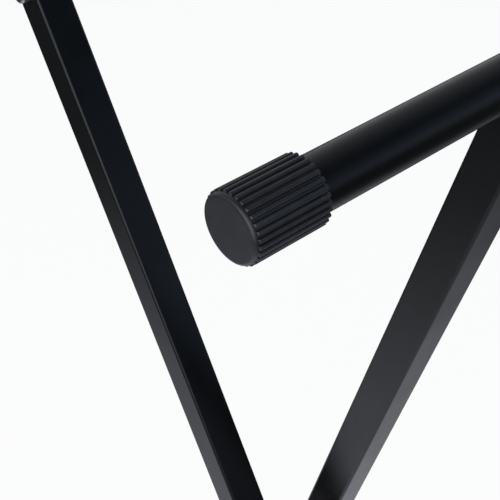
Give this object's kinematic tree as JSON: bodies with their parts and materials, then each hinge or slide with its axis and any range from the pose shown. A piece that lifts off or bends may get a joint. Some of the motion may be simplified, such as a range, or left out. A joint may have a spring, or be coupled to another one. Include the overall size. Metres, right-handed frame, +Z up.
{
  "type": "folding keyboard stand",
  "caption": "Single-braced folding X stand for a keyboard: two crossed square legs on a pivot with a locking disc and pull plunger, round arms and feet with ribbed rubber caps.",
  "frame": {"origin": "on the floor, midway between the four feet ends, below the pivot", "axes": "+X to the right of someone facing the stand, across its two arms; +Y from the front leg to the back; +Z up"},
  "size_m": [0.4064, 0.407, 0.966],
  "materials": {
    "black_powder_coat": "satin black powder coat",
    "black_rubber": "matte moulded rubber",
    "zinc_steel": "bright zinc plate",
    "bright_steel": "turned and oiled",
    "raw_steel": "plain steel tube",
    "nylon": "natural nylon",
    "black_plastic": "moulded black plastic"
  },
  "bodies": {
    "rear_leg_body": {"rear_leg": "black_powder_coat", "rear_leg_sleeve": "raw_steel", "pivot_spacer": "black_powder_coat", "pivot_bolt": "zinc_steel", "bolt_head_washer": "zinc_steel", "locknut_washer": "zinc_steel", "pivot_locknut": "zinc_steel", "plunger_housing": "black_powder_coat", "plunger_end_cap": "bright_steel", "plunger_spring": "bright_steel", "right_arm": "black_powder_coat", "right_arm_stub": "black_powder_coat", "right_arm_weld_nut": "zinc_steel", "right_arm_lock_washer": "zinc_steel", "right_arm_screw": "zinc_steel", "right_arm_front_cap": "black_rubber", "right_arm_rear_cap": "black_rubber", "left_foot": "black_powder_coat", "left_foot_stub": "black_powder_coat", "left_foot_weld_nut": "zinc_steel", "left_foot_lock_washer": "zinc_steel", "left_foot_screw": "zinc_steel", "left_foot_front_cap": "black_rubber", "left_foot_rear_cap": "black_rubber"},
    "front_leg_body": {"front_leg": "black_powder_coat", "front_leg_sleeve": "raw_steel", "front_pivot_bush": "nylon", "disc_pivot_bush": "nylon", "locking_disc": "black_powder_coat", "left_arm": "black_powder_coat", "left_arm_stub": "black_powder_coat", "left_arm_weld_nut": "zinc_steel", "left_arm_lock_washer": "zinc_steel", "left_arm_screw": "zinc_steel", "left_arm_front_cap": "black_rubber", "left_arm_rear_cap": "black_rubber", "right_foot": "black_powder_coat", "right_foot_stub": "black_powder_coat", "right_foot_weld_nut": "zinc_steel", "right_foot_lock_washer": "zinc_steel", "right_foot_screw": "zinc_steel", "right_foot_front_cap": "black_rubber", "right_foot_rear_cap": "black_rubber"},
    "plunger_body": {"plunger_pin": "bright_steel", "plunger_knob": "black_plastic", "knob_roll_pin": "bright_steel"}
  },
  "joints": [
    {"name": "fold", "type": "hinge", "parent": "rear_leg_body", "child": "front_leg_body", "pos_m": [0, 0, 0.48301], "axis": [0, -1, 0], "range_deg": [-40, 64]},
    {"name": "plunger_slide", "type": "slide", "parent": "rear_leg_body", "child": "plunger_body", "axis": [0, -1, 0], "range_m": [0, 0.0065], "deforming": ["plunger_spring"]}
  ]
}
